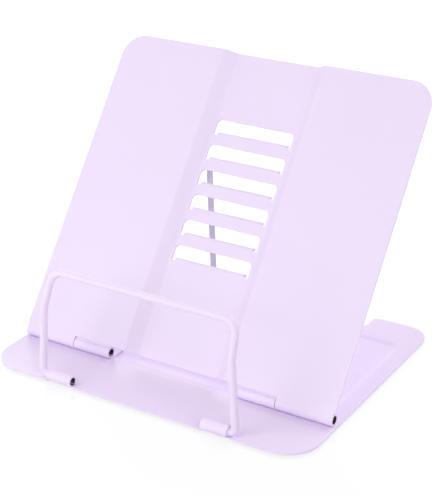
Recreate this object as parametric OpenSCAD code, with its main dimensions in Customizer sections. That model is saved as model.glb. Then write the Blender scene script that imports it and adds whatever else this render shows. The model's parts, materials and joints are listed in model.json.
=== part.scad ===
// Folding book stand of pressed sheet steel: a base and a back plate hinged on two pins,
// a wire page holder at the front edge and a wire prop behind the plate.
// X runs across the stand, Y from front to back and Z up. The origin is on the table,
// under the middle of the stand.

/* [Sheet and wire] */
// Thickness of the steel sheet of the base and the back plate
sheet_t = 1.2; // [0.8:0.1:1.6]
// Diameter of the page holder's wire
holder_d = 4.5; // [3:0.1:5]
// Diameter of the prop's wire
prop_d = 4; // [2.5:0.1:4.6]
// Radial clearance of a wire or pin that turns in a rolled knuckle
turn_clear = 0.05; // [0.02:0.01:0.1]

/* [Base] */
// Width of the base
base_w = 211; // [200:1:240]
// Depth of the base from its front edge to its rear edge
base_d = 169; // [160:1:190]
// Corner radius at the front of the base
base_front_r = 20; // [8:1:24]
// Corner radius at the rear of the base
base_rear_r = 15; // [6:1:17]
// Width of the cut-out in the rear edge
notch_w = 134; // [110:1:140]
// Corner radius of the cut-out
notch_r = 8; // [3:0.5:8]
// Depth of the sunk field below the rim
field_drop = 1; // [0.5:0.1:1.1]
// Width of the slope around the sunk field
field_slope = 3.6; // [2:0.1:6]
// Rim left at each side of the sunk field
field_side = 9; // [6:0.5:12]
// Distance from the front edge to the sunk field
field_front = 40; // [38:0.5:44]
// Rim left between the sunk field and the prop's axis
field_rear = 3.6; // [3.4:0.2:9.4]
// Corner radius of the sunk field
field_r = 9; // [6:0.5:12]

/* [Back plate] */
// Distance from the base's side edge to the back plate's side edge
plate_margin = 1; // [0.5:0.5:8]
// Length of the back plate from the hinge axis to its top edge
plate_l = 195.4; // [180:0.2:220]
// Corner radius at the top of the back plate
plate_r = 14.5; // [6:0.5:24]
// Lean of the back plate from the table, as it stands
tilt = 53.2; // [50:0.2:56]
// Depth of the pressed channel
channel_depth = 5.5; // [3:0.1:6]
// Width of the channel's floor
channel_floor = 55; // [54.6:0.2:60]
// Width of each slope of the channel
channel_slope = 6.5; // [5:0.5:9]
// Bend radius along the channel's floor
channel_bend = 4; // [1.5:0.1:4]
// Bend radius along the channel's rim
rim_bend = 1.5; // [1:0.1:3]

/* [Slots] */
// Number of slots up the channel
slot_count = 6; // [3:1:6]
// Distance between slots
slot_pitch = 16; // [14:0.5:17]
// Width of a slot
slot_w = 52; // [46:0.5:53]
// Clear height of a slot
slot_h = 7.4; // [6:0.2:8]
// Corner radius at the top of a slot
slot_r = 3; // [1:0.5:3.5]
// Distance from the hinge axis to the top edge of the highest slot
slot_top = 152.9; // [140:0.1:170]
// Reach of a lip behind the channel's floor
lip_out = 1.8; // [1.4:0.1:2]
// Inner bend radius of a lip
lip_bend = 0.4; // [0.3:0.1:0.6]
// Width of the relief at each end of a lip
relief_w = 2.4; // [1.5:0.1:3]
// Depth of the relief below a slot
relief_h = 2.2; // [2.2:0.1:3]
// Number of slots above the one that the prop stands under
slots_above_count = 1; // [0:1:2]

/* [Hinge] */
// Diameter of the hinge pins
pin_d = 4.7; // [4:0.1:5.2]
// Distance from the front edge of the base to the hinge axis
hinge_setback = 39.4; // [36:0.2:42]
// Gap under the hinge tubes
hinge_gap = 0.2; // [0.2:0.05:0.6]
// Distance from the plate's side edge to the end of its hinge tube
tube_inset = 0.5; // [0:0.1:4]
// Length of a hinge tube rolled on the back plate
plate_tube = 35; // [25:0.5:40]
// Length of a hinge tube rolled on the base
base_tube = 25; // [18:0.5:28]
// Gap between the two hinge tubes on a pin
tube_gap = 0.4; // [0.3:0.1:0.8]
// Depth of a pin's end inside its tube
pin_inset = 6; // [1:0.5:8]
// Gap between the lower edge of the back plate and the base's hinge tubes
edge_gap = 0.5; // [0.2:0.05:1]
// Distance from the hinge axis to where the tail of a base tube meets the sunk field
tail_rise = 3.6; // [3.2:0.1:5]
// Distance from the hinge axis to the end of that tail
tail_l = 12; // [9:0.5:16]
// Width of the seam where a rolled tube closes
seam = 0.4; // [0.2:0.1:0.6]
// Width of the slit at each side of a rolled tab
slit = 0.5; // [0.3:0.1:0.8]

/* [Page holder] */
// Half the distance between the holder's legs at the base
holder_foot = 64.8; // [60:0.2:70]
// Half the distance between the legs at the knee
holder_knee = 61.5; // [56:0.1:66]
// Half the distance between the legs at the top bar
holder_top = 60.1; // [54:0.1:66]
// Height of the knee above the holder's axis
knee_h = 43; // [36:0.5:48]
// Height of the top bar above the holder's axis
holder_h = 62.7; // [56:0.1:68]
// Reach of the top bar behind the holder's axis
holder_reach = 8.1; // [4:0.1:12]
// Bend radius of the knee
knee_r = 12; // [6:0.5:16]
// Bend radius of the top corners
holder_r = 8; // [5:0.5:10]
// Bend radius at the foot of each wire
foot_bend = 4; // [3:0.1:5]
// Length of the knuckles that hold the page holder
holder_tube = 16.4; // [12:0.2:20]
// Gap between a wire's bend and its knuckle
wire_gap = 0.4; // [0.2:0.1:0.8]
// Depth of a wire's end inside its knuckle
wire_inset = 3; // [0.5:0.5:4]
// Lift of a rolled knuckle above the underside of the base
knuckle_lift = 0.3; // [0.2:0.05:0.5]
// Overhang of the front knuckles past the front edge of the base
holder_proud = 2; // [0:0.1:3]

/* [Prop] */
// Distance from the front edge of the base to the prop's axis
prop_setback = 148.4; // [148.2:0.1:150]
// Half the distance between the prop's legs at the base
prop_foot = 39.4; // [34:0.1:42]
// Half the distance between the prop's legs at its bar
prop_top = 25.5; // [20:0.1:26.5]
// Bend radius of the prop's top corners
prop_r = 6; // [4:0.5:8]
// Length of the knuckles that hold the prop
prop_tube = 15; // [10:0.5:18]
// Gap between the prop's bar and the lip that it stands under
prop_gap = 0.75; // [0.6:0.05:1]

/* [Feet] */
// Thickness of the foot pads
pad_t = 1.3; // [1.3:0.1:3]
// Diameter of the foot pads
pad_d = 12; // [8:0.5:14]
// Distance from the base's side edge to the centre of a pad
pad_side = 19; // [16:0.5:24]
// Distance from the base's front or rear edge to the centre of a pad
pad_end = 10.5; // [10:0.5:12]
// Chamfer round the underside of a pad
pad_chamfer = 0.4; // [0.2:0.1:0.8]

/* [Hidden] */
$fn = 64;
arc_steps = 6;
film = 0.01;
cut_over = 1;
bend_lap_angle = 1;
bend_thin = 0.04;
weld = 0.1;
lilac = "#ECDEF8";
pin_steel = "#8F8A96";
silicone = "#D9D6DE";

// Base levels and edges, and the width of the back plate. The front knuckles overhang the
// front edge, so both edges lie half of that further back
front_y = (holder_proud - base_d)/2;
rear_y = front_y + base_d;
plate_w = base_w - 2*plate_margin;
base_top = pad_t + sheet_t;
field_top = base_top - field_drop;
side_signs = [-1, 1];

// Hinge axis and tubes
pin_r = pin_d/2;
hinge_bore = pin_r + turn_clear;
hinge_or = hinge_bore + sheet_t;
hinge_y = front_y + hinge_setback;
hinge_rise = sheet_t + hinge_gap + hinge_or;
hinge_z = pad_t + hinge_rise;
plate_tube_x1 = plate_w/2 - tube_inset;
plate_tube_x0 = plate_tube_x1 - plate_tube;
base_tube_x1 = plate_tube_x0 - tube_gap;
base_tube_x0 = base_tube_x1 - base_tube;
base_seam_angle = 335;
plate_seam_angle = 40;
pin_l = plate_tube_x1 - base_tube_x0 - 2*pin_inset;
pin_chamfer = 0.4;

// Back plate section: z is the height above the hinge axis, square to the plate
plate_front = hinge_or;
floor_front = plate_front - channel_depth;
floor_back = floor_front - sheet_t;
plate_low = sqrt(pow(hinge_or + edge_gap, 2) - pow(plate_front - sheet_t, 2));
channel_x0 = channel_floor/2;
channel_x1 = channel_x0 + channel_slope;
slope_angle = atan(channel_depth/channel_slope);
slope_shift = sheet_t*tan(slope_angle/2);
lip_w = slot_w - 2*relief_w;
lip_curve = lip_bend + sheet_t;

// Page holder
holder_wire_r = holder_d/2;
holder_bore = holder_wire_r + turn_clear;
holder_or = holder_bore + sheet_t;
holder_y = front_y + holder_or - holder_proud;
holder_z = pad_t + holder_or + knuckle_lift;
holder_tube_x1 = holder_foot - foot_bend - wire_gap;
holder_tube_x0 = holder_tube_x1 - holder_tube;
holder_seam_angle = 325;

// Prop, standing under the lip of its slot
prop_wire_r = prop_d/2;
prop_bore = prop_wire_r + turn_clear;
prop_or = prop_bore + sheet_t;
prop_y = front_y + prop_setback;
prop_z = pad_t + prop_or + knuckle_lift;
prop_tube_x1 = prop_foot - foot_bend - wire_gap;
prop_tube_x0 = prop_tube_x1 - prop_tube;
prop_seam_angle = 215;
notch_y = prop_y + prop_or;
bar_h = slot_low(slots_above_count) - sheet_t - prop_wire_r - turn_clear;
bar_n = floor_back - lip_out - prop_gap - prop_wire_r;
bar_y = hinge_y + bar_h*cos(tilt) - bar_n*sin(tilt);
bar_z = hinge_z + bar_h*sin(tilt) + bar_n*cos(tilt);

// Lower edge of a slot, counted from 0 at the top, as a distance from the hinge axis
function slot_low(i) = slot_top - slot_h - i*slot_pitch;
function unit(v) = v/norm(v);
function flip(points) = [for (i = [len(points) - 1 : -1 : 0]) [-points[i][0], points[i][1], points[i][2]]];

// Points of an arc that rounds corner b of the outline a, b, c
function round_corner(a, b, c, r) =
    let (u = unit(a - b), v = unit(c - b), half = acos(u*v)/2, centre = b + unit(u + v)*r/sin(half))
    let (start = b + u*r/tan(half) - centre, end = b + v*r/tan(half) - centre, sweep = 180 - 2*half)
    [for (i = [0 : arc_steps])
        centre + (start*sin((1 - i/arc_steps)*sweep) + end*sin(i/arc_steps*sweep))/sin(sweep)];

// An open outline with each inner corner rounded to its own radius
function rounded_line(points, radii) = [
    points[0],
    for (i = [1 : len(points) - 2]) each round_corner(points[i - 1], points[i], points[i + 1], radii[i - 1]),
    points[len(points) - 1]
];

// A flat profile in Y and Z, drawn out along X from x0 to x1
module along_x(x0, x1) {
    translate([x0, 0, 0])
        rotate([90, 0, 90])
            linear_extrude(x1 - x0)
                children();
}

// The same piece on the right and, mirrored, on the left
module both_sides() {
    children();
    mirror([1, 0, 0])
        children();
}

// Section of a sheet rolled into a tube, with a seam at one angle
module rolled_tube(bore, outer, seam_angle) {
    difference() {
        circle(outer);
        circle(bore);
        rotate(seam_angle)
            translate([bore/2, -seam/2])
                square([outer, seam]);
    }
}

// Round wire along a line of points, with a bend of the given radius at each inner point
module bent_wire(points, radii, d) {
    last = len(points) - 1;
    runs = [for (i = [0 : last]) i == 0 || i == last ? 0 :
        radii[i - 1]/tan(acos(unit(points[i - 1] - points[i])*unit(points[i + 1] - points[i]))/2)];
    for (i = [1 : last]) {
        along = unit(points[i] - points[i - 1]);
        wire_run(points[i - 1] + along*runs[i - 1], points[i] - along*runs[i], d);
    }
    for (i = [1 : last - 1])
        wire_bend(points[i - 1], points[i], points[i + 1], radii[i - 1], d);
}

// Straight run of wire from a to b
module wire_run(a, b, d) {
    along = b - a;
    translate(a)
        rotate([0, acos(along[2]/norm(along)), atan2(along[1], along[0])])
            cylinder(d = d, h = norm(along));
}

// Bend of a wire round corner b, between the runs from a and to c. The wire thins a little
// there, and the bend laps into both runs
module wire_bend(a, b, c, r, d) {
    u = unit(a - b);
    v = unit(c - b);
    half = acos(u*v)/2;
    centre = b + unit(u + v)*r/sin(half);
    ex = unit(b + u*r/tan(half) - centre);
    ez = unit(cross(ex, b + v*r/tan(half) - centre));
    ey = cross(ez, ex);
    multmatrix([
        [ex[0], ey[0], ez[0], centre[0]],
        [ex[1], ey[1], ez[1], centre[1]],
        [ex[2], ey[2], ez[2], centre[2]],
        [0, 0, 0, 1]
    ])
        rotate(-bend_lap_angle)
            rotate_extrude(angle = 180 - 2*half + 2*bend_lap_angle)
                translate([r, 0])
                    circle(d = d - bend_thin);
}

// Outline of the base, with its rear cut-out
module base_outline() {
    difference() {
        union() {
            translate([-base_w/2, front_y + base_front_r])
                square([base_w, base_d - base_front_r - base_rear_r]);
            translate([base_front_r - base_w/2, front_y])
                square([base_w - 2*base_front_r, base_front_r]);
            translate([base_rear_r - base_w/2, rear_y - base_rear_r])
                square([base_w - 2*base_rear_r, base_rear_r]);
            for (s = side_signs) {
                translate([s*(base_w/2 - base_front_r), front_y + base_front_r])
                    circle(base_front_r);
                translate([s*(base_w/2 - base_rear_r), rear_y - base_rear_r])
                    circle(base_rear_r);
            }
        }
        rear_notch();
    }
}

// Cut-out of the rear edge: rounded inner corners, and rounded ears at its mouth
module rear_notch() {
    depth = rear_y - notch_y;
    translate([notch_r - notch_w/2, notch_y])
        square([notch_w - 2*notch_r, depth + cut_over]);
    translate([-notch_w/2, notch_y + notch_r])
        square([notch_w, depth]);
    for (s = side_signs) {
        translate([s*(notch_w/2 - notch_r), notch_y + notch_r])
            circle(notch_r);
        difference() {
            translate([s*(notch_w/2 + notch_r/2) - notch_r/2, rear_y - notch_r])
                square([notch_r, notch_r + cut_over]);
            translate([s*(notch_w/2 + notch_r), rear_y - notch_r])
                circle(notch_r);
        }
    }
}

// Rounded corners of the sunk field, drawn in by an inset on every side
module field_outline(inset) {
    half_w = base_w/2 - field_side - inset;
    y0 = front_y + field_front + inset;
    y1 = prop_y - field_rear - inset;
    r = field_r - inset/2;
    for (x = [r - half_w, half_w - r], y = [y0 + r, y1 - r])
        translate([x, y])
            circle(r, $fn = 32);
}

// Solid of the sunk field, with its rim at height z
module field_pan(z) {
    hull() {
        translate([0, 0, z])
            linear_extrude(film)
                field_outline(0);
        translate([0, 0, z - field_drop])
            linear_extrude(film)
                field_outline(field_slope);
    }
}

// Strip rolled round a hinge pin, with a tail behind it that is welded on the sunk field
module base_hinge_tube() {
    tail_z = field_top - hinge_z;
    along_x(base_tube_x0, base_tube_x1)
        translate([hinge_y, hinge_z]) {
            rolled_tube(pin_r, hinge_or, base_seam_angle);
            polygon([
                [0, -pin_r - film],
                [0, -hinge_or],
                [tail_rise, tail_z - weld],
                [tail_l, tail_z - weld],
                [tail_l, tail_z + sheet_t],
                [tail_rise, tail_z + sheet_t]
            ]);
        }
}

// Parts of the sheet that are cut free for the rolled tabs
module tab_cuts() {
    both_sides() {
        translate([holder_tube_x0 - slit, front_y - cut_over])
            square([holder_tube + 2*slit, holder_y - front_y + cut_over]);
        translate([prop_tube_x0 - slit, prop_y])
            square([prop_tube + 2*slit, prop_or + cut_over]);
    }
}

module base_plate() {
    color(lilac) {
        difference() {
            union() {
                translate([0, 0, pad_t])
                    linear_extrude(sheet_t)
                        base_outline();
                field_pan(pad_t);
            }
            field_pan(base_top);
            translate([0, 0, pad_t - cut_over])
                linear_extrude(sheet_t + 2*cut_over)
                    tab_cuts();
        }
        both_sides() {
            base_hinge_tube();
            along_x(holder_tube_x0, holder_tube_x1)
                translate([holder_y, holder_z])
                    rolled_tube(holder_bore, holder_or, holder_seam_angle);
            along_x(prop_tube_x0, prop_tube_x1)
                translate([prop_y, prop_z])
                    rolled_tube(prop_bore, prop_or, prop_seam_angle);
        }
    }
}

// Section of the back plate across the channel: its front line, then its back line
module channel_section() {
    front_line = [
        [plate_w/2, plate_front],
        [channel_x1, plate_front],
        [channel_x0, floor_front],
        [-channel_x0, floor_front],
        [-channel_x1, plate_front],
        [-plate_w/2, plate_front]
    ];
    back_line = [
        [-plate_w/2, plate_front - sheet_t],
        [-channel_x1 - slope_shift, plate_front - sheet_t],
        [-channel_x0 - slope_shift, floor_back],
        [channel_x0 + slope_shift, floor_back],
        [channel_x1 + slope_shift, plate_front - sheet_t],
        [plate_w/2, plate_front - sheet_t]
    ];
    rim_front = rim_bend + sheet_t;
    floor_outer = channel_bend + sheet_t;
    polygon(concat(
        rounded_line(front_line, [rim_front, channel_bend, channel_bend, rim_front]),
        rounded_line(back_line, [rim_bend, floor_outer, floor_outer, rim_bend])
    ));
}

// Outline of the back plate above its hinge tubes
module plate_outline() {
    translate([-plate_w/2, plate_low])
        square([plate_w, plate_l - plate_r - plate_low]);
    translate([plate_r - plate_w/2, plate_l - plate_r])
        square([plate_w - 2*plate_r, plate_r]);
    for (s = side_signs)
        translate([s*(plate_w/2 - plate_r), plate_l - plate_r])
            circle(plate_r);
}

// Opening of one slot, down to the bottom of the reliefs
module slot_opening(i) {
    low = slot_low(i) - relief_h;
    tall = slot_h + relief_h;
    translate([-slot_w/2, low])
        square([slot_w, tall - slot_r]);
    translate([slot_r - slot_w/2, low])
        square([slot_w - 2*slot_r, tall]);
    for (s = side_signs)
        translate([s*(slot_w/2 - slot_r), low + tall - slot_r])
            circle(slot_r);
}

// Lip below one slot: the sheet bends backwards, square to the channel's floor
module slot_lip(i) {
    low = slot_low(i);
    along_x(-lip_w/2, lip_w/2) {
        translate([low - relief_h - film, floor_back])
            square([relief_h - lip_curve + film, sheet_t]);
        translate([low - lip_curve, floor_back - lip_bend])
            intersection() {
                difference() {
                    circle(lip_curve);
                    circle(lip_bend);
                }
                square(lip_curve);
            }
        translate([low - sheet_t, floor_back - lip_out])
            square([sheet_t, lip_out - lip_bend]);
    }
}

module back_plate() {
    color(lilac)
        translate([0, hinge_y, hinge_z])
            rotate([tilt, 0, 0]) {
                difference() {
                    intersection() {
                        translate([0, plate_l, 0])
                            rotate([90, 0, 0])
                                linear_extrude(plate_l - plate_low)
                                    channel_section();
                        translate([0, 0, floor_back - cut_over])
                            linear_extrude(channel_depth + sheet_t + 2*cut_over)
                                plate_outline();
                    }
                    translate([0, 0, floor_back - cut_over])
                        linear_extrude(sheet_t + 2*cut_over)
                            for (i = [0 : slot_count - 1])
                                slot_opening(i);
                }
                for (i = [0 : slot_count - 1])
                    slot_lip(i);
                both_sides()
                    along_x(plate_tube_x0, plate_tube_x1) {
                        rolled_tube(hinge_bore, hinge_or, plate_seam_angle);
                        translate([0, plate_front - sheet_t])
                            square([plate_low + film, sheet_t]);
                    }
            }
}

// Hinge pin with chamfered ends; side is -1 for left and 1 for right
module hinge_pin(side) {
    color(pin_steel)
        translate([side*(base_tube_x0 + plate_tube_x1)/2 - pin_l/2, hinge_y, hinge_z])
            rotate([0, 90, 0])
                rotate_extrude()
                    polygon([
                        [0, 0],
                        [pin_r - pin_chamfer, 0],
                        [pin_r, pin_chamfer],
                        [pin_r, pin_l - pin_chamfer],
                        [pin_r - pin_chamfer, pin_l],
                        [0, pin_l]
                    ]);
}

module page_holder() {
    left = [
        [-holder_tube_x0 - wire_inset, holder_y, holder_z],
        [-holder_foot, holder_y, holder_z],
        [-holder_knee, holder_y, holder_z + knee_h],
        [-holder_top, holder_y + holder_reach, holder_z + holder_h]
    ];
    color(lilac)
        bent_wire(
            concat(left, flip(left)),
            [foot_bend, knee_r, holder_r, holder_r, knee_r, foot_bend],
            holder_d
        );
}

module support_prop() {
    left = [
        [-prop_tube_x0 - wire_inset, prop_y, prop_z],
        [-prop_foot, prop_y, prop_z],
        [-prop_top, bar_y, bar_z]
    ];
    color(lilac)
        bent_wire(concat(left, flip(left)), [foot_bend, prop_r, prop_r, foot_bend], prop_d);
}

// Foot pad at a corner: sx is -1 for left and 1 for right, sy is -1 for front and 1 for rear
module foot_pad(sx, sy) {
    pad_y = sy < 0 ? front_y + pad_end : rear_y - pad_end;
    color(silicone)
        translate([sx*(base_w/2 - pad_side), pad_y, 0])
            rotate_extrude()
                polygon([
                    [0, 0],
                    [pad_d/2 - pad_chamfer, 0],
                    [pad_d/2, pad_chamfer],
                    [pad_d/2, pad_t],
                    [0, pad_t]
                ]);
}

base_plate();
back_plate();
hinge_pin(-1);  // hinge_pin_left
hinge_pin(1);  // hinge_pin_right
page_holder();
support_prop();
foot_pad(-1, -1);  // foot_front_left
foot_pad(1, -1);  // foot_front_right
foot_pad(-1, 1);  // foot_rear_left
foot_pad(1, 1);  // foot_rear_right
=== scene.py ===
"""Folding book stand: painted sheet steel, bent wire and small parts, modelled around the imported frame."""

import json
import math

import bmesh
import bpy
from bpy.props import FloatProperty, FloatVectorProperty, IntProperty, PointerProperty
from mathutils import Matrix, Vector


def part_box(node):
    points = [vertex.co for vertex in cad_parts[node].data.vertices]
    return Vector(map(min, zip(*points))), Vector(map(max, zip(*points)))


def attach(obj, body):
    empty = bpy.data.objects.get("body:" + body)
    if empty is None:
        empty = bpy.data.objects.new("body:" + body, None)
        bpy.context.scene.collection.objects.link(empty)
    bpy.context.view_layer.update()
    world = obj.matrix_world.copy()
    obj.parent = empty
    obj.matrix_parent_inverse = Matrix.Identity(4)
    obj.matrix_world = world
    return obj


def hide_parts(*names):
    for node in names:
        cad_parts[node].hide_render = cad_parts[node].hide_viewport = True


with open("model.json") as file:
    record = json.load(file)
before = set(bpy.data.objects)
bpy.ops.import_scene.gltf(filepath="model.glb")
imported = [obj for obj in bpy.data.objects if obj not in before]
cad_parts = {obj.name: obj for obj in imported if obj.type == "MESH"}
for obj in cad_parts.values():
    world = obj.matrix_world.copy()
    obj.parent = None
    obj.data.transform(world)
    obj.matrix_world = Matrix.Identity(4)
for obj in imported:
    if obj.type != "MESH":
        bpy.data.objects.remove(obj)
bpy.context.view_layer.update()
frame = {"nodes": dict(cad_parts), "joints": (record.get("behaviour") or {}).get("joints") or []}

bl_info = {
    "name": "Folding Book Stand",
    "version": (1, 0, 0),
    "blender": (4, 5, 0),
    "location": "View3D > Sidebar > Book Stand",
    "description": "Models a folding book stand of powder-coated sheet steel and wire",
    "category": "Add Mesh",
}

# Places that the frame gives
AXIS = {joint["name"]: Vector(joint["pos_m"]) for joint in frame["joints"]}
BASE_LOW, BASE_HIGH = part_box("base_plate")
PLATE_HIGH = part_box("back_plate")[1]
HOLDER_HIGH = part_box("page_holder")[1]
PROP_LOW, PROP_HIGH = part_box("support_prop")
PINS = ("hinge_pin_left", "hinge_pin_right")
FEET = ("foot_front_left", "foot_front_right", "foot_rear_left", "foot_rear_right")
SIDES = (-1, 1)

MM = 0.001

# How finely round shapes are drawn: the steps in a corner, a bend, a rolled tube, a painted edge and a press
# line, the sides of a wire, and the degrees that a wire turns in one step
CORNER_STEPS = 12
BEND_STEPS = 6
ROLL_STEPS = 32
EDGE_STEPS = 3
PRESS_STEPS = 4
WIRE_SIDES = 32
WIRE_STEP_DEGREES = 6

# Edges that turn more than this are cut edges, which paint rounds, and shading is smooth up to these turns
CUT_EDGE = math.radians(50)
SHEET_SMOOTH = math.radians(40)
WIRE_SMOOTH = math.radians(50)

# How near counts as the same place, how far a punch goes past the sheet, and how squarely a face has to look
# along a direction to count as facing it
NEAR = 2e-5
OVERCUT = 0.001
FACING = 0.9


def linear(code):
    """Linear red, green and blue of an sRGB hex value such as ECDEF8."""
    shares = [int(code[i:i + 2], 16)/255 for i in (0, 2, 4)]
    return [c/12.92 if c <= 0.04045 else ((c + 0.055)/1.055)**2.4 for c in shares]


def length(name, description, millimetres):
    """A size that a user may change, in metres."""
    return FloatProperty(
        name=name,
        description=description,
        default=millimetres*MM,
        min=0.0,
        precision=5,
        unit="LENGTH",
    )


def angle(name, description, degrees):
    """An angle that a user may change."""
    return FloatProperty(name=name, description=description, default=math.radians(degrees), subtype="ANGLE")


def colour(name, description, code):
    """A colour that a user may change."""
    return FloatVectorProperty(
        name=name,
        description=description,
        default=linear(code),
        min=0.0,
        max=1.0,
        subtype="COLOR",
    )


def power(name, description, watts):
    """A lamp's power that a user may change, in watts."""
    return FloatProperty(name=name, description=description, default=watts, min=0.0)


class StandSheet(bpy.types.PropertyGroup):
    """Sizes of the steel sheet, and of what is cut and rolled in it."""

    thick: length("Thickness", "Thickness of the painted sheet", 1.2)
    edge: length("Edge", "Radius that the paint gives to a cut edge", 0.28)
    slit: length("Slit", "Width of the slit at each side of a rolled tab", 0.5)
    nick: length("Nick", "How far a slit runs past the foot of its tab", 1.0)
    lead: length("Lead", "Length of sheet that leads into a rolled knuckle", 1.5)
    knuckle_roll: angle("Knuckle Roll", "How far a wire's knuckle is rolled", 320)
    strip_roll: angle("Strip Roll", "How far a hinge tube of the base is rolled", 330)
    plate_roll: angle("Plate Roll", "How far a hinge tube of the plate is rolled", 306)


class StandBase(bpy.types.PropertyGroup):
    """Sizes of the base."""

    front_r: length("Front Corners", "Corner radius at the front", 20)
    rear_r: length("Rear Corners", "Corner radius at the rear", 15)
    notch_w: length("Cut-out Width", "Width of the cut-out in the rear edge", 134)
    notch_r: length("Cut-out Corners", "Corner radius of the cut-out", 8)
    knuckle_proud: length("Overhang", "Overhang of the front knuckles past the front edge", 2)
    field_drop: length("Field Drop", "Depth of the sunk field below the rim", 1)
    field_slope: length("Field Slope", "Width of the slope round the field", 3.6)
    field_side: length("Side Rim", "Rim left at each side of the field", 9)
    field_front: length("Front Rim", "Distance from the front edge to the field", 40)
    field_rear: length("Rear Rim", "Rim left behind the field", 24.2)
    field_r: length("Field Corners", "Corner radius of the field", 9)
    press_soft: length("Press Line", "Half width of the soft line that the press leaves", 0.5)


class StandPlate(bpy.types.PropertyGroup):
    """Sizes of the back plate, with its channel and slots."""

    lean: angle("Lean", "Lean of the back plate from the table", 53.2)
    corner_r: length("Top Corners", "Corner radius at the top", 14.5)
    channel_depth: length("Channel Depth", "Depth of the pressed channel", 5.5)
    channel_floor: length("Channel Floor", "Width of the channel's floor", 55)
    channel_slope: length("Channel Slope", "Width of each slope of the channel", 6.5)
    channel_bend: length("Channel Bend", "Inner bend radius along the channel's floor", 4)
    rim_bend: length("Rim Bend", "Inner bend radius along the channel's rim", 1.5)
    slot_count: IntProperty(name="Slots", description="Number of slots up the channel", default=6, min=1)
    slot_pitch: length("Slot Pitch", "Distance between slots", 16)
    slot_w: length("Slot Width", "Width of a slot", 52)
    slot_h: length("Slot Height", "Clear height of a slot", 7.4)
    slot_r: length("Slot Corners", "Corner radius at the top of a slot", 3)
    slot_top: length("Slot Top", "Distance from the hinge axis to the highest slot's top edge", 152.9)
    lip_out: length("Lip Reach", "Reach of a lip behind the channel's floor", 1.8)
    lip_bend: length("Lip Bend", "Inner bend radius of a lip", 0.4)
    relief_w: length("Relief Width", "Width of the relief at each end of a lip", 2.4)
    relief_h: length("Relief Depth", "Depth of the relief below a slot", 2.2)


class StandHinge(bpy.types.PropertyGroup):
    """Sizes of the rolled hinge."""

    tube_r: length("Tube Radius", "Outer radius of the rolled hinge tubes", 3.6)
    tube_inset: length("Tube Inset", "Distance from the plate's side edge to the end of its tube", 0.5)
    plate_tube: length("Plate Tube", "Length of a hinge tube of the plate", 35)
    base_tube: length("Base Tube", "Length of a hinge tube of the base", 25)
    tube_gap: length("Tube Gap", "Gap between the two tubes on a pin", 0.4)
    edge_gap: length("Edge Gap", "Gap between the plate's lower edge and the base's tubes", 0.5)
    tail_rise: length("Tail Rise", "Distance from the hinge axis to where a base tube's tail lies flat", 3.6)
    tail_l: length("Tail End", "Distance from the hinge axis to the end of that tail", 12)
    weld: length("Weld", "How far the tail is sunk in the field by its weld", 0.1)


class StandWires(bpy.types.PropertyGroup):
    """Sizes of the two bent wires and their knuckles."""

    holder_d: length("Holder Wire", "Diameter of the page holder's wire", 4.5)
    prop_d: length("Prop Wire", "Diameter of the prop's wire", 4)
    knee_half: length("Knee", "Half the distance between the holder's legs at the knee", 61.5)
    top_half: length("Top", "Half the distance between the holder's legs at the top bar", 60.1)
    knee_h: length("Knee Height", "Height of the knee above the holder's axis", 43)
    knee_r: length("Knee Bend", "Bend radius of the knee", 12)
    top_r: length("Top Bend", "Bend radius of the holder's top corners", 8)
    bar_half: length("Prop Bar", "Half the distance between the prop's legs at its bar", 25.5)
    bar_r: length("Prop Bend", "Bend radius of the prop's top corners", 6)
    foot_r: length("Foot Bend", "Bend radius at the foot of a wire", 4)
    holder_tube: length("Holder Knuckle", "Length of the page holder's knuckles", 16.4)
    prop_tube: length("Prop Knuckle", "Length of the prop's knuckles", 15)
    gap: length("Gap", "Gap between a wire's bend and its knuckle", 0.4)
    inset: length("Inset", "Depth of a wire's end inside its knuckle", 3)
    clear: length("Clearance", "Radial clearance of a wire in its knuckle", 0.05)
    end_round: length("End", "Rounding of a wire's cut end", 0.3)


class StandFinish(bpy.types.PropertyGroup):
    """Colours of the finishes."""

    coat: colour("Powder Coat", "Colour of the powder coat", "ECDEF8")
    # The prop's coat is the same lilac, made greyer as painted light for the plainer light that reaches it
    # under the plate
    prop_coat_painted_light: colour("Prop Coat", "Colour of the prop's coat, a little greyer than the rest", "E3DFE7")
    steel: colour("Pin Steel", "Colour of the drawn steel of the pins", "8F8A96")
    # Bare steel inside the tubes and at the wire ends, its dark tone painted shade
    bare_and_shade: colour("Bare Steel", "Colour of the steel inside the rolled tubes", "3A3640")
    pad: colour("Silicone", "Colour of the foot pads", "DAD6E0")
    floor: colour("Floor", "Colour of the floor", "F6F5F8")


class StandStage(bpy.types.PropertyGroup):
    """Camera and light."""

    azimuth: angle("Azimuth", "Turn of the camera round the stand, from straight in front", 31.33)
    elevation: angle("Elevation", "Height of the camera above the horizon", 24.08)
    distance: length("Distance", "Distance from the camera to the point that it aims at", 778.4)
    aim: FloatVectorProperty(
        name="Aim",
        description="Point that the camera aims at",
        default=(17.4*MM, -23.5*MM, 80.7*MM),
        subtype="XYZ",
        unit="LENGTH",
    )
    lens: FloatProperty(name="Lens", description="Focal length on a 36 mm sensor, in mm", default=101.1)
    ambient: FloatProperty(name="Ambient", description="Strength of the light all round", default=0.3)
    front_power: power("Front", "Power of the front softbox", 8.7)
    front_low_power: power("Low Front", "Power of the small low softbox at the front left", 2.1)
    left_power: power("Left", "Power of the left softbox", 5.0)
    right_power: power("Right", "Power of the right softbox", 9.0)
    rear_power: power("Rear", "Power of the rear softbox", 16.5)
    rear_left_power: power("Left Rear", "Power of the lower softbox at the left rear", 4.7)


# Small tools for shaping sheet and wire


def deselect():
    """Nothing is selected, so that the next operator acts on its own piece alone."""
    bpy.ops.object.select_all(action="DESELECT")


def edit(piece):
    """Opens one piece in edit mode."""
    deselect()
    bpy.context.view_layer.objects.active = piece
    piece.select_set(True)
    bpy.ops.object.mode_set(mode="EDIT")


def done():
    """Closes edit mode."""
    bpy.ops.object.mode_set(mode="OBJECT")


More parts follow.
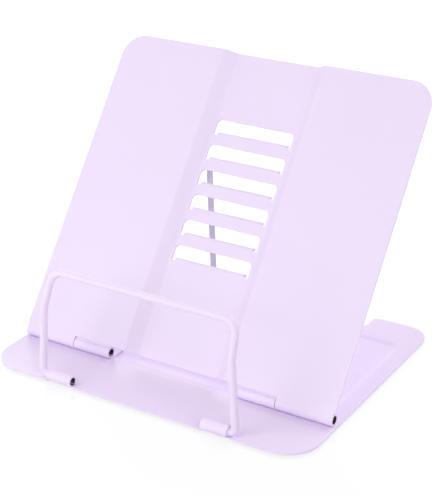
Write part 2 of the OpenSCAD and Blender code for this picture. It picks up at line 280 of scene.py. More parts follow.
def choose(piece, kind, test):
    """Selects the corners, edges or faces of a piece in edit mode that pass a test."""
    bpy.ops.mesh.select_mode(type=kind)
    bpy.ops.mesh.select_all(action="DESELECT")
    mesh = bmesh.from_edit_mesh(piece.data)
    mesh.normal_update()
    parts = {"VERT": mesh.verts, "EDGE": mesh.edges, "FACE": mesh.faces}[kind]
    found = [part for part in parts if test(part)]
    if not found:
        raise RuntimeError(f"{piece.name} has no {kind.lower()} at that place")
    for part in found:
        part.select_set(True)
    bmesh.update_edit_mesh(piece.data)


def near(a, b):
    """Whether two lengths are the same place."""
    return abs(a - b) < NEAR


def settle():
    """Writes the place, turn and scale of the selected object into its mesh."""
    bpy.ops.object.transform_apply(location=True, rotation=True, scale=True)


def bevel(width, steps, affect="EDGES"):
    """Rounds the selected edges or corners."""
    bpy.ops.mesh.bevel(offset=width, offset_type="OFFSET", segments=steps, affect=affect)


def blank(name, low, high, z):
    """A flat blank of sheet between two corners, left in edit mode."""
    deselect()
    bpy.ops.mesh.primitive_plane_add(size=1, location=((low[0] + high[0])/2, (low[1] + high[1])/2, z))
    piece = bpy.context.object
    piece.name = name
    piece.data.name = name
    piece.scale = (high[0] - low[0], high[1] - low[1], 1)
    settle()
    bpy.ops.object.mode_set(mode="EDIT")
    return piece


def score(x):
    """Marks a line along the whole blank at one x."""
    bpy.ops.mesh.select_all(action="SELECT")
    bpy.ops.mesh.bisect(plane_co=(x, 0, 0), plane_no=(1, 0, 0))


def round_corners(piece, test, radius):
    """Rounds the corners of a flat blank that pass a test."""
    choose(piece, "VERT", test)
    bevel(radius, CORNER_STEPS, affect="VERTICES")


def modify(piece, kind, **settings):
    """Adds one modifier with its settings and applies it."""
    deselect()
    bpy.context.view_layer.objects.active = piece
    piece.select_set(True)
    bpy.ops.object.modifier_add(type=kind)
    modifier = piece.modifiers[-1]
    for name, value in settings.items():
        setattr(modifier, name, value)
    bpy.ops.object.modifier_apply(modifier=modifier.name)


def punch(low, high, rounded=None, radius=0.0):
    """A punch that fills a box, with the upright edges that pass a test rounded."""
    low, high = Vector(low), Vector(high)
    deselect()
    bpy.ops.mesh.primitive_cube_add(size=1, location=(low + high)/2)
    tool = bpy.context.object
    tool.scale = high - low
    settle()
    if rounded:
        def upright_and_rounded(edge):
            a, b = (corner.co for corner in edge.verts)
            return near(a.x, b.x) and near(a.y, b.y) and rounded(a)

        edit(tool)
        choose(tool, "EDGE", upright_and_rounded)
        bevel(radius, CORNER_STEPS)
        done()
    return tool


def cut(piece, tool):
    """Punches one hole and puts the punch away."""
    modify(piece, "BOOLEAN", operation="DIFFERENCE", solver="EXACT", object=tool)
    bpy.data.objects.remove(tool)


def draw_out(x, y, z):
    """Draws the selected faces out by a step."""
    bpy.ops.mesh.extrude_region_move(TRANSFORM_OT_translate={"value": (x, y, z)})


def roll(centre, turn, steps):
    """Rolls the selected faces about a line along X. A positive turn takes the top towards the front."""
    bpy.ops.mesh.spin(steps=steps, angle=-turn, center=centre, axis=(1, 0, 0))


def soften(piece, radius):
    """Rounds the cut edges as paint does, and smooths the shading across bends."""
    modify(piece, "BEVEL", width=radius, segments=EDGE_STEPS, limit_method="ANGLE", angle_limit=CUT_EDGE)
    bpy.ops.object.shade_smooth_by_angle(angle=SHEET_SMOOTH)
    modify(piece, "WEIGHTED_NORMAL", keep_sharp=True)


def join(piece, other):
    """Makes two objects one."""
    deselect()
    other.select_set(True)
    piece.select_set(True)
    bpy.context.view_layer.objects.active = piece
    bpy.ops.object.join()


def dress(piece, node, body, material):
    """Gives a piece its finish and its place in the frame."""
    piece.data.materials.clear()
    piece.data.materials.append(material)
    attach(piece, body)
    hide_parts(node)


def paint_bare_and_shade(piece, material, test):
    """Gives the faces of a piece that pass a test the dark steel in place of their coat: bare steel, made
    dark as painted shade.
    """
    piece.data.materials.append(material)
    piece.active_material_index = len(piece.data.materials) - 1
    edit(piece)
    choose(piece, "FACE", test)
    bpy.ops.object.material_slot_assign()
    done()


def inside(*tubes):
    """A test for the faces inside tubes, where no powder gets and whose dark steel is painted shade. Each
    tube is an axis along X and a radius.
    """
    def test(face):
        at = face.calc_center_median()
        return any(math.hypot(at.y - axis.y, at.z - axis.z) < radius + NEAR for axis, radius in tubes)

    return test


# Materials, and the places of a Mix node's two colours and of its result

MIX_FIRST, MIX_SECOND, MIX_RESULT = 6, 7, 2


def add_node(tree, kind, inputs=None, **settings):
    """Adds a node, sets its options, and gives its inputs plain values or links from other sockets."""
    node = tree.nodes.new(kind)
    for name, value in settings.items():
        setattr(node, name, value)
    for name, value in (inputs or {}).items():
        if isinstance(value, bpy.types.NodeSocket):
            tree.links.new(value, node.inputs[name])
        else:
            node.inputs[name].default_value = value
    return node


def new_material(name):
    """A new material, its empty node tree, and the socket that places patterns on the object."""
    material = bpy.data.materials.new(name)
    material.use_nodes = True
    tree = material.node_tree
    tree.nodes.clear()
    return material, tree, add_node(tree, "ShaderNodeTexCoord").outputs["Object"]


def opaque(rgb):
    """A colour with full alpha."""
    return (*rgb, 1.0)


def shade(rgb, share):
    """A colour made darker or lighter by a share."""
    return opaque([min(1.0, c*share) for c in rgb])


def noise(tree, place, size, detail):
    """A cloudy pattern from 0 to 1, whose patches are about as wide as size."""
    inputs = {"Vector": place, "Scale": 1/size, "Detail": detail}
    return add_node(tree, "ShaderNodeTexNoise", inputs).outputs["Fac"]


def blend(tree, factor, first, second):
    """A colour that goes from first to second as a factor goes from 0 to 1."""
    inputs = {"Factor": factor, MIX_FIRST: first, MIX_SECOND: second}
    return add_node(tree, "ShaderNodeMix", inputs, data_type="RGBA").outputs[MIX_RESULT]


def tones(tree, pattern, rgb, dark, light):
    """A colour that a pattern takes from a darker share of it to a lighter one."""
    return blend(tree, pattern, shade(rgb, dark), shade(rgb, light))


def spread(tree, pattern, low, high):
    """A value that a pattern takes from low to high."""
    inputs = {"Value": pattern, "To Min": low, "To Max": high}
    return add_node(tree, "ShaderNodeMapRange", inputs).outputs["Result"]


def relief(tree, pattern, strength, depth):
    """A normal that makes a pattern stand out from the surface."""
    inputs = {"Height": pattern, "Strength": strength, "Distance": depth}
    return add_node(tree, "ShaderNodeBump", inputs).outputs["Normal"]


def surface(tree, inputs):
    """Ends a material in one shader with the given inputs."""
    shader = add_node(tree, "ShaderNodeBsdfPrincipled", inputs)
    add_node(tree, "ShaderNodeOutputMaterial", {"Surface": shader.outputs["BSDF"]})


def powder_coat(name, rgb):
    """Smooth satin powder coat on steel: an even pale film with a faint orange peel and soft highlights."""
    found = bpy.data.materials.get(name)
    if found:
        return found
    material, tree, place = new_material(name)
    # The film varies a little in thickness over about 45 mm, which shows as a faint change of tone
    film = noise(tree, place, size=45*MM, detail=2.0)
    # Orange peel cells are about 0.7 mm; they are drawn at 1.4 mm so that they show in the picture
    peel = noise(tree, place, size=1.4*MM, detail=1.0)
    # Handling leaves patches of about 12 mm that are a touch glossier
    patch = noise(tree, place, size=12*MM, detail=3.0)
    surface(tree, {
        "Base Color": tones(tree, film, rgb, dark=0.985, light=1.01),
        "Roughness": spread(tree, patch, low=0.40, high=0.48),
        "Normal": relief(tree, peel, strength=0.25, depth=0.01*MM),
        "IOR": 1.5,
    })
    return material


def phosphated_steel(rgb):
    """Phosphated steel under the coat, made dark as painted shade: matt with fine crystals, so that a tube
    looks dark inside.
    """
    found = bpy.data.materials.get("phosphated_steel")
    if found:
        return found
    material, tree, place = new_material("phosphated_steel")
    # Crystals are far below 0.1 mm; they are drawn at 0.5 mm so that they show close by
    crystal = noise(tree, place, size=0.5*MM, detail=3.0)
    surface(tree, {
        "Base Color": tones(tree, crystal, rgb, dark=0.75, light=1.2),
        "Roughness": spread(tree, crystal, low=0.7, high=0.9),
        "Normal": relief(tree, crystal, strength=0.3, depth=0.01*MM),
        "IOR": 1.5,
    })
    return material


def drawn_steel(rgb):
    """Drawn steel rod: a grey metal with fine lines along the pin, duller where oil sits."""
    material, tree, place = new_material("drawn_steel")
    # Draw lines are 0.15 mm wide and run 30 mm along the pin
    scale = (1/(30*MM), 1/(0.15*MM), 1/(0.15*MM))
    stretch = add_node(tree, "ShaderNodeMapping", {"Vector": place, "Scale": scale})
    lines = noise(tree, stretch.outputs["Vector"], size=1.0, detail=2.0)
    surface(tree, {
        "Base Color": tones(tree, lines, rgb, dark=0.7, light=1.1),
        "Metallic": 1.0,
        "Roughness": spread(tree, lines, low=0.3, high=0.5),
        "Normal": relief(tree, lines, strength=0.3, depth=0.01*MM),
    })
    return material


def silicone(rgb):
    """Moulded silicone: a soft matt grey that light enters a little, with a fine moulded grain."""
    material, tree, place = new_material("moulded_silicone")
    grain = noise(tree, place, size=0.5*MM, detail=2.0)
    cloud = noise(tree, place, size=5*MM, detail=1.0)
    surface(tree, {
        "Base Color": tones(tree, cloud, rgb, dark=0.94, light=1.04),
        "Roughness": 0.6,
        "IOR": 1.41,
        "Subsurface Weight": 0.2,
        "Subsurface Radius": (1.5*MM, 1.5*MM, 1.5*MM),
        "Normal": relief(tree, grain, strength=0.3, depth=0.02*MM),
    })
    return material


# The base


def front_edge(base):
    """Where the front edge of the base lies, behind the front of its knuckles."""
    return BASE_LOW.y + base.knuckle_proud


def field_edges(base):
    """Where the outer edges of the sunk field lie: at the sides, at the front and at the rear."""
    return BASE_HIGH.x - base.field_side, front_edge(base) + base.field_front, BASE_HIGH.y - base.field_rear


def sunk_field(base, top):
    """The field of the base as a sheet of its own: a rounded blank whose middle is pressed down."""
    side_x, front_y, rear_y = field_edges(base)
    field = blank("sunk_field", (-side_x, front_y), (side_x, rear_y), top)
    round_corners(field, lambda v: True, base.field_r)
    choose(field, "FACE", lambda f: True)
    bpy.ops.mesh.inset(thickness=base.field_slope, use_boundary=True, use_even_offset=True)
    bpy.ops.transform.translate(value=(0, 0, -base.field_drop))
    done()
    return field


def base_blank(base, top):
    """The outline of the base as a blank with no face, ready to be joined to the field."""
    piece = blank("base_plate_coated", (BASE_LOW.x, front_edge(base)), BASE_HIGH.xy, top)
    round_corners(piece, lambda v: v.co.y < 0 and near(abs(v.co.x), BASE_HIGH.x), base.front_r)
    round_corners(piece, lambda v: near(v.co.y, BASE_HIGH.y) and near(abs(v.co.x), BASE_HIGH.x), base.rear_r)
    bpy.ops.mesh.select_all(action="SELECT")
    bpy.ops.mesh.delete(type="ONLY_FACE")
    done()
    return piece


def leans(face):
    """Whether a face leans, by less than 45 degrees."""
    return 0.5 < face.normal.z*face.normal.z < 1 - NEAR


def press_base(base, sheet, top):
    """The base pressed from one sheet: rim, slope and field, with soft press lines."""
    piece = base_blank(base, top)
    join(piece, sunk_field(base, top))
    edit(piece)
    choose(piece, "EDGE", lambda e: len(e.link_faces) < 2)
    bpy.ops.mesh.fill(use_beauty=True)
    bpy.ops.mesh.select_all(action="SELECT")
    bpy.ops.mesh.normals_make_consistent(inside=False)
    side_x, front_y, rear_y = field_edges(base)

    def on_field(corner):
        return abs(corner.co.x) < side_x + NEAR and front_y - NEAR < corner.co.y < rear_y + NEAR

    def on_press_line(edge):
        heights = (top, top - base.field_drop)
        level = any(all(near(corner.co.z, z) for corner in edge.verts) for z in heights)
        slopes = [face for face in edge.link_faces if leans(face)]
        return level and len(slopes) == 1 and all(on_field(corner) for corner in edge.verts)

    choose(piece, "EDGE", on_press_line)
    bevel(base.press_soft, PRESS_STEPS)
    mesh = bmesh.from_edit_mesh(piece.data)
    mesh.normal_update()
    if sum(f.normal.z*f.calc_area() for f in mesh.faces) < 0:
        bpy.ops.mesh.select_all(action="SELECT")
        bpy.ops.mesh.flip_normals()
    done()
    modify(piece, "SOLIDIFY", thickness=sheet.thick, offset=-1, use_even_offset=True)
    return piece


def cut_rear_notch(piece, base, notch_y):
    """The cut-out of the rear edge: rounded inner corners, and rounded ears at its mouth."""
    half = base.notch_w/2
    low, high = (-half, notch_y, -OVERCUT), (half, BASE_HIGH.y + OVERCUT, BASE_HIGH.z)
    cut(piece, punch(low, high, lambda co: near(co.y, notch_y), base.notch_r))
    edit(piece)

    def at_mouth(edge):
        return all(near(abs(c.co.x), half) and near(c.co.y, BASE_HIGH.y) for c in edge.verts)

    choose(piece, "EDGE", at_mouth)
    bevel(base.notch_r, CORNER_STEPS)
    done()


def free_tab(piece, sheet, x0, x1, foot_y, end_y):
    """Cuts the sheet away from the foot of a tab to end_y, and nicks both sides of the tab."""
    way = math.copysign(1, end_y - foot_y)
    strips = [
        (x0 - sheet.slit, x1 + sheet.slit, foot_y),
        (x0 - sheet.slit, x0, foot_y - way*sheet.nick),
        (x1, x1 + sheet.slit, foot_y - way*sheet.nick),
    ]
    for left, right, start_y in strips:
        y0, y1 = sorted((start_y, end_y))
        cut(piece, punch((left, y0, -OVERCUT), (right, y1, BASE_HIGH.z)))


def roll_tab(piece, x0, x1, foot_y, lead, centre, turn):
    """Draws a tab's end out along lead and rolls it about a line along X."""
    edit(piece)
    way = math.copysign(1, lead[1])
    choose(
        piece,
        "FACE",
        lambda f: f.normal.y*way > FACING
        and near(f.calc_center_median().y, foot_y)
        and x0 < f.calc_center_median().x < x1,
    )
    draw_out(*lead)
    roll(centre, turn, ROLL_STEPS)
    done()


def knuckle_end(wires, high, diameter):
    """How far from the middle a wire's knuckle reaches, just short of the bend at the wire's foot."""
    return high.x - diameter/2 - wires.foot_r - wires.gap


def roll_knuckle(piece, sheet, ends, axis, bore, way, edge_y, bottom):
    """Rolls a tab round a wire, at the edge of the sheet towards the rear (way 1) or the front (way -1)."""
    foot_y = axis.y - way*sheet.lead
    free_tab(piece, sheet, *ends, foot_y, edge_y + way*OVERCUT)
    lift = axis.z - (bore + sheet.thick) - bottom
    roll_tab(piece, *ends, foot_y, (0, way*sheet.lead, lift), axis, way*sheet.knuckle_roll)


def hinge_strip(x0, x1, sheet, hinge, floor_z):
    """A strip of sheet rolled round the hinge axis, with a tail that lies on the sunk field."""
    fold = AXIS["plate_fold"]
    rise_y = fold.y + hinge.tail_rise
    low_z = floor_z - hinge.weld
    strip = punch((x0, rise_y, low_z), (x1, fold.y + hinge.tail_l, low_z + sheet.thick))
    lead = (0, -hinge.tail_rise, fold.z - hinge.tube_r - low_z)
    roll_tab(strip, x0, x1, rise_y, lead, fold, -sheet.strip_roll)
    return strip


def span(side, inner, outer):
    """The two ends along X of what lies between two distances from the middle, on one side."""
    return sorted((side*inner, side*outer))


class STAND_OT_base_plate(bpy.types.Operator):
    """Presses the base, rolls its knuckles and welds its hinge tubes on"""

    bl_idname = "stand.base_plate"
    bl_label = "Base Plate"

    def execute(self, context):
        scene = context.scene
        sheet, base, hinge, wires = scene.stand_sheet, scene.stand_base, scene.stand_hinge, scene.stand_wires
        finish = scene.stand_finish
        bottom = BASE_LOW.z + base.field_drop
        top = bottom + sheet.thick
        holder, prop = AXIS["holder_swing"], AXIS["prop_swing"]
        holder_bore = wires.holder_d/2 + wires.clear
        prop_bore = wires.prop_d/2 + wires.clear
        holder_end = knuckle_end(wires, HOLDER_HIGH, wires.holder_d)
        prop_end = knuckle_end(wires, PROP_HIGH, wires.prop_d)
        tube_end = PLATE_HIGH.x - hinge.tube_inset - hinge.plate_tube - hinge.tube_gap
        front_y = front_edge(base)
        notch_y = prop.y + (prop_bore + sheet.thick)
        piece = press_base(base, sheet, top)
        cut_rear_notch(piece, base, notch_y)
        for side in SIDES:
            ends = span(side, holder_end - wires.holder_tube, holder_end)
            roll_knuckle(piece, sheet, ends, holder, holder_bore, -1, front_y, bottom)
            ends = span(side, prop_end - wires.prop_tube, prop_end)
            roll_knuckle(piece, sheet, ends, prop, prop_bore, 1, notch_y, bottom)
        for side in SIDES:
            x0, x1 = span(side, tube_end - hinge.base_tube, tube_end)
            join(piece, hinge_strip(x0, x1, sheet, hinge, top - base.field_drop))
        soften(piece, sheet.edge)
        coat = powder_coat("lilac_coated_steel", finish.coat)
        dress(piece, "base_plate", "base", coat)
        # The insides of the tubes get the dark steel as painted shade, where the coat doesn't reach; the
        # rounding at the mouth of each wire's knuckle gets it too, as painted shade for the dark gap round
        # the wire
        tubes = inside(
            (AXIS["plate_fold"], hinge.tube_r - sheet.thick),
            (holder, holder_bore + sheet.edge),
            (prop, prop_bore + sheet.edge),
        )
        paint_bare_and_shade(piece, phosphated_steel(finish.bare_and_shade), tubes)
        return {"FINISHED"}


# The back plate, modelled flat with the hinge axis at the origin, and then leaned back


def press_channel(piece, plate, sheet):
    """Presses the channel down from the blank and rounds its four bends."""
    floor_x = plate.channel_floor/2
    rim_x = floor_x + plate.channel_slope
    choose(piece, "VERT", lambda v: abs(v.co.x) < floor_x + NEAR)
    bpy.ops.transform.translate(value=(0, 0, -plate.channel_depth))
    half = math.atan2(plate.channel_depth, plate.channel_slope)/2
    for x, radius in ((floor_x, plate.channel_bend), (rim_x, plate.rim_bend + sheet.thick)):
        choose(piece, "EDGE", lambda e: all(near(abs(v.co.x), x) for v in e.verts))
        bevel(radius*math.tan(half), BEND_STEPS)


def cut_slots(piece, plate, sheet, floor_back):
    """Punches the slots up the channel, each with a relief at both ends of the tongue below it."""
    half = plate.slot_w/2
    lip_half = half - plate.relief_w
    tongue = plate.lip_bend + sheet.thick
    for i in range(plate.slot_count):
        top = plate.slot_top - i*plate.slot_pitch
        low = top - plate.slot_h
        z0, z1 = floor_back - OVERCUT, floor_back + sheet.thick + OVERCUT
        slot = punch((-half, low - tongue, z0), (half, top, z1), lambda co: near(co.y, top), plate.slot_r)
        cut(piece, slot)
        for side in SIDES:
            x0, x1 = span(side, lip_half, half)
            cut(piece, punch((x0, low - plate.relief_h, z0), (x1, low, z1)))


def bend_lips(piece, plate, sheet, floor_back):
    """Bends the tongue below each slot backwards, square to the channel's floor."""
    lip_half = plate.slot_w/2 - plate.relief_w
    tongue = plate.lip_bend + sheet.thick
    edit(piece)
    for i in range(plate.slot_count):
        end_y = plate.slot_top - i*plate.slot_pitch - plate.slot_h - tongue
        choose(
            piece,
            "FACE",
            lambda f: f.normal.y > FACING
            and near(f.calc_center_median().y, end_y)
            and all(abs(v.co.x) < lip_half + NEAR for v in f.verts),
        )
        roll((0, end_y, floor_back - plate.lip_bend), -math.pi/2, BEND_STEPS)
        draw_out(0, 0, plate.lip_bend - plate.lip_out)
    done()


class STAND_OT_back_plate(bpy.types.Operator):
    """Presses the back plate, cuts its slots, bends its lips and rolls its hinge tubes"""

    bl_idname = "stand.back_plate"
    bl_label = "Back Plate"

    def execute(self, context):
        scene = context.scene
        sheet, plate, hinge = scene.stand_sheet, scene.stand_plate, scene.stand_hinge
        finish = scene.stand_finish
        fold = AXIS["plate_fold"]
        front = hinge.tube_r
        floor_back = front - plate.channel_depth - sheet.thick
        low = math.sqrt((hinge.tube_r + hinge.edge_gap)**2 - (hinge.tube_r - sheet.thick)**2)
        top = (PLATE_HIGH.z - fold.z - front*math.cos(plate.lean))/math.sin(plate.lean)
        half = PLATE_HIGH.x
        tube_end = half - hinge.tube_inset
        tube_start = tube_end - hinge.plate_tube
        piece = blank("back_plate_coated", (-half, low), (half, top), front)
        floor_x = plate.channel_floor/2
        round_corners(piece, lambda v: near(v.co.y, top), plate.corner_r)
        for x in (floor_x, floor_x + plate.channel_slope, tube_start, tube_end):
            score(x)
            score(-x)
        press_channel(piece, plate, sheet)
        done()
        modify(piece, "SOLIDIFY", thickness=sheet.thick, offset=-1, use_even_offset=True)
        cut_slots(piece, plate, sheet, floor_back)
        bend_lips(piece, plate, sheet, floor_back)
        for side in SIDES:
            x0, x1 = span(side, tube_start, tube_end)
            roll_tab(piece, x0, x1, low, (0, -low, 0), (0, 0, 0), sheet.plate_roll)
        soften(piece, sheet.edge)
        piece.location = fold
        piece.rotation_euler.x = plate.lean
        deselect()
        piece.select_set(True)
        settle()
        coat = powder_coat("lilac_coated_steel", finish.coat)
        dress(piece, "back_plate", "plate", coat)
        # The insides of the plate's tubes get the dark steel as painted shade, where the coat doesn't reach
        paint_bare_and_shade(piece, phosphated_steel(finish.bare_and_shade), inside((fold, hinge.tube_r - sheet.thick)))
        return {"FINISHED"}


# The wires


def cut_end(face):
    """Whether a face is the cut end of a wire."""
    return len(face.verts) == WIRE_SIDES


def bend_wire(name, half, half_radii, diameter, end_round):
    """Feeds a wire along half a line and its mirror image, and bends it to a radius at each inner point."""
    points = half + [Vector((-p.x, p.y, p.z)) for p in reversed(half)]
    radii = half_radii + half_radii[::-1]
    ways = [(b - a).normalized() for a, b in zip(points, points[1:])]
    turns = [a.angle(b) for a, b in zip(ways, ways[1:])]
    deselect()
    bpy.ops.mesh.primitive_circle_add(
        vertices=WIRE_SIDES,
        radius=diameter/2,
        fill_type="NGON",
        location=points[0],
        rotation=ways[0].to_track_quat("Z", "Y").to_euler(),
    )
    wire = bpy.context.object
    wire.name = name
    wire.data.name = name
    settle()
    bpy.ops.object.mode_set(mode="EDIT")
    bpy.ops.mesh.select_mode(type="FACE")
    bpy.ops.mesh.select_all(action="SELECT")
    at = points[0]
    for corner, way, turn, radius, after in zip(points[1:], ways, turns, radii, ways[1:]):
        reach = radius*math.tan(turn/2)
        draw_out(*(corner - way*reach - at))
        centre = corner + (after - way).normalized()*radius/math.cos(turn/2)
        steps = max(BEND_STEPS, round(math.degrees(turn)/WIRE_STEP_DEGREES))
        bpy.ops.mesh.spin(steps=steps, angle=-turn, center=centre, axis=way.cross(after))
        at = corner + after*reach
    draw_out(*(points[-1] - at))
    bpy.ops.mesh.select_all(action="SELECT")
    bpy.ops.mesh.normals_make_consistent(inside=False)
    choose(wire, "FACE", cut_end)
    bevel(end_round, EDGE_STEPS)
    done()
    bpy.ops.object.shade_smooth_by_angle(angle=WIRE_SMOOTH)
    return wire


class STAND_OT_page_holder(bpy.types.Operator):
    """Bends the wire loop that holds the pages, with its ends in the front knuckles"""

    bl_idname = "stand.page_holder"
    bl_label = "Page Holder"

    def execute(self, context):
        wires, finish = context.scene.stand_wires, context.scene.stand_finish
        axis = AXIS["holder_swing"]
        wire_r = wires.holder_d/2
        foot = HOLDER_HIGH.x - wire_r
        end = knuckle_end(wires, HOLDER_HIGH, wires.holder_d) - wires.holder_tube + wires.inset
        half = [
            Vector((-end, axis.y, axis.z)),
            Vector((-foot, axis.y, axis.z)),
            Vector((-wires.knee_half, axis.y, axis.z + wires.knee_h)),
            Vector((-wires.top_half, HOLDER_HIGH.y - wire_r, HOLDER_HIGH.z - wire_r)),
        ]
        radii = [wires.foot_r, wires.knee_r, wires.top_r]
        piece = bend_wire("page_holder_wire", half, radii, wires.holder_d, wires.end_round)
        coat = powder_coat("lilac_coated_steel", finish.coat)
        dress(piece, "page_holder", "holder", coat)
        # The wire's cut end is bare steel, and its dark tone is painted shade deep inside the knuckle
        paint_bare_and_shade(piece, phosphated_steel(finish.bare_and_shade), cut_end)
        return {"FINISHED"}


class STAND_OT_support_prop(bpy.types.Operator):
    """Bends the wire loop that props the back plate, with its ends in the rear knuckles"""

    bl_idname = "stand.support_prop"
    bl_label = "Support Prop"

    def execute(self, context):
        wires, finish = context.scene.stand_wires, context.scene.stand_finish
        axis = AXIS["prop_swing"]
        wire_r = wires.prop_d/2
        foot = PROP_HIGH.x - wire_r
        end = knuckle_end(wires, PROP_HIGH, wires.prop_d) - wires.prop_tube + wires.inset
        half = [
            Vector((-end, axis.y, axis.z)),
            Vector((-foot, axis.y, axis.z)),
            Vector((-wires.bar_half, PROP_LOW.y + wire_r, PROP_HIGH.z - wire_r)),
        ]
        radii = [wires.foot_r, wires.bar_r]
        piece = bend_wire("support_prop_wire", half, radii, wires.prop_d, wires.end_round)
        # A greyer copy of the lilac coat, as painted light for the plainer light on the prop under the plate
        coat = powder_coat("grey_coated_steel", finish.prop_coat_painted_light)
        dress(piece, "support_prop", "prop", coat)
        # The wire's cut end is bare steel, and its dark tone is painted shade deep inside the knuckle
        paint_bare_and_shade(piece, phosphated_steel(finish.bare_and_shade), cut_end)
        return {"FINISHED"}


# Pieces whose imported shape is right, and which only need their finish


def finish_nodes(names, material):
    """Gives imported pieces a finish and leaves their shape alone."""
    for name in names:
        slots = frame["nodes"][name].data.materials
        slots.clear()
        slots.append(material)


class STAND_OT_hinge_pins(bpy.types.Operator):
    """Gives the two hinge pins their drawn steel"""

    bl_idname = "stand.hinge_pins"
    bl_label = "Hinge Pins"

    def execute(self, context):
        finish_nodes(PINS, drawn_steel(context.scene.stand_finish.steel))
        return {"FINISHED"}


class STAND_OT_foot_pads(bpy.types.Operator):
    """Gives the four foot pads their silicone"""

    bl_idname = "stand.foot_pads"
    bl_label = "Foot Pads"

    def execute(self, context):
        finish_nodes(FEET, silicone(context.scene.stand_finish.pad))
        return {"FINISHED"}


# The stage

# Where each softbox hangs and how wide it is, in metres
SOFTBOXES = {
    "front": ((-0.5, -1.4, 1.2), 1.2),
    "front_low": ((-0.4, -0.9, 0.25), 0.5),
    "left": ((-1.6, -0.3, 0.8), 1.0),
    "right": ((1.4, -0.8, 1.0), 1.0),
    "rear": ((0.4, 1.2, 1.4), 1.0),
    "rear_left": ((-1.2, 1.3, 0.7), 0.8),
}
WHITE = (1.0, 1.0, 1.0)
# Where the floor is looked at: its glow, and the share of its own colour that still takes light
FLOOR_GLOW = 0.77
FLOOR_OWN = 0.2
# The floor's width in metres, and how far it lies below the pads so that the two don't flicker
FLOOR_SIZE = 8.0
FLOOR_DROP = 0.05*MM


def looked_at(tree):
    """A socket that is 1 where the camera, a mirror or glass looks, and 0 where light only lights."""
    path = add_node(tree, "ShaderNodeLightPath").outputs
    seen = path["Is Camera Ray"]
    for kind in ("Is Glossy Ray", "Is Transmission Ray"):
        seen = add_node(tree, "ShaderNodeMath", {0: seen, 1: path[kind]}, operation="MAXIMUM").outputs[0]
    return seen


def white_world(strength):
    """Plain light all round, which the camera and mirrors see as white."""
    world = bpy.data.worlds.new("white_studio")
    bpy.context.scene.world = world
    world.use_nodes = True
    tree = world.node_tree
    tree.nodes.clear()
    ambient = add_node(tree, "ShaderNodeBackground", {"Color": opaque(WHITE), "Strength": strength})
    white = add_node(tree, "ShaderNodeBackground", {"Color": opaque(WHITE), "Strength": 1.0})
    sources = {0: looked_at(tree), 1: ambient.outputs[0], 2: white.outputs[0]}
    mix = add_node(tree, "ShaderNodeMixShader", sources)
    add_node(tree, "ShaderNodeOutputWorld", {"Surface": mix.outputs[0]})


def white_floor(rgb):
    """Gloss white board: it takes a faint shadow and a faint reflection, and is white elsewhere."""
    material, tree, place = new_material("gloss_white_board")
    cloud = noise(tree, place, size=80*MM, detail=1.0)
    seen = looked_at(tree)
    # Where it is looked at, most of the board's own white is a glow, so that a shadow only shows faintly
    glow = add_node(tree, "ShaderNodeMath", {0: seen, 1: FLOOR_GLOW}, operation="MULTIPLY")
    surface(tree, {
        "Base Color": blend(tree, seen, opaque(rgb), shade(rgb, FLOOR_OWN)),
        "Roughness": spread(tree, cloud, low=0.10, high=0.14),
        "IOR": 1.45,
        "Emission Color": opaque(WHITE),
        "Emission Strength": glow.outputs[0],
    })
    return material


def softbox(name, place, aim, size, watts):
    """A square softbox that faces the stand."""
    bpy.ops.object.light_add(type="AREA", location=place)
    lamp = bpy.context.object
    lamp.name = name
    lamp.data.name = name
    lamp.data.energy = watts
    lamp.data.size = size
    lamp.rotation_euler = (Vector(aim) - Vector(place)).to_track_quat("-Z", "Y").to_euler()


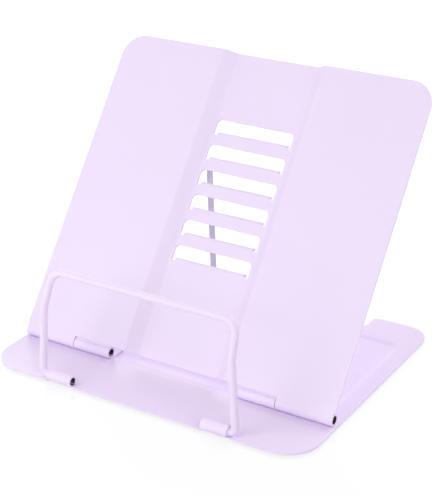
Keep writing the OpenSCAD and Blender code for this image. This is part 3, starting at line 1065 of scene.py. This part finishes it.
class STAND_OT_stage(bpy.types.Operator):
    """Sets the floor, the light and the camera"""

    bl_idname = "stand.stage"
    bl_label = "Stage"

    def execute(self, context):
        scene = context.scene
        stage = scene.stand_stage
        deselect()
        bpy.ops.mesh.primitive_plane_add(size=FLOOR_SIZE, location=(0, 0, -FLOOR_DROP))
        floor = bpy.context.object
        floor.name = "floor"
        floor.data.materials.append(white_floor(scene.stand_finish.floor))
        white_world(stage.ambient)
        for name, (place, size) in SOFTBOXES.items():
            softbox(f"{name}_softbox", place, stage.aim, size, getattr(stage, f"{name}_power"))
        back = Vector((
            math.sin(stage.azimuth)*math.cos(stage.elevation),
            -math.cos(stage.azimuth)*math.cos(stage.elevation),
            math.sin(stage.elevation),
        ))
        bpy.ops.object.camera_add(location=Vector(stage.aim) + back*stage.distance)
        camera = bpy.context.object
        camera.name = "photo_camera"
        camera.rotation_euler = (-back).to_track_quat("-Z", "Y").to_euler()
        camera.data.lens = stage.lens
        scene.camera = camera
        scene.view_settings.view_transform = "Standard"
        return {"FINISHED"}


class STAND_PT_panel(bpy.types.Panel):
    """Offers the operators and the sizes of the book stand"""

    bl_idname = "STAND_PT_panel"
    bl_label = "Book Stand"
    bl_space_type = "VIEW_3D"
    bl_region_type = "UI"
    bl_category = "Book Stand"

    def draw(self, context):
        for operator in OPERATORS:
            self.layout.operator(operator.bl_idname)
        for name in GROUPS:
            group = getattr(context.scene, name)
            box = self.layout.box()
            box.label(text=name.replace("stand_", "").capitalize())
            for key in group.__annotations__:
                box.prop(group, key)


OPERATORS = (
    STAND_OT_base_plate,
    STAND_OT_back_plate,
    STAND_OT_page_holder,
    STAND_OT_support_prop,
    STAND_OT_hinge_pins,
    STAND_OT_foot_pads,
    STAND_OT_stage,
)
GROUPS = {
    "stand_sheet": StandSheet,
    "stand_base": StandBase,
    "stand_plate": StandPlate,
    "stand_hinge": StandHinge,
    "stand_wires": StandWires,
    "stand_finish": StandFinish,
    "stand_stage": StandStage,
}
CLASSES = (*GROUPS.values(), *OPERATORS, STAND_PT_panel)


def register():
    """Adds the stand's classes and its groups of properties."""
    for cls in CLASSES:
        bpy.utils.register_class(cls)
    for name, group in GROUPS.items():
        setattr(bpy.types.Scene, name, PointerProperty(type=group))


def unregister():
    """Takes them away again."""
    for name in GROUPS:
        delattr(bpy.types.Scene, name)
    for cls in reversed(CLASSES):
        bpy.utils.unregister_class(cls)


def main():
    """Makes the stand piece by piece and sets the stage."""
    register()
    bpy.ops.stand.base_plate()
    bpy.ops.stand.back_plate()
    bpy.ops.stand.page_holder()
    bpy.ops.stand.support_prop()
    bpy.ops.stand.hinge_pins()
    bpy.ops.stand.foot_pads()
    bpy.ops.stand.stage()


if __name__ == "__main__":
    main()
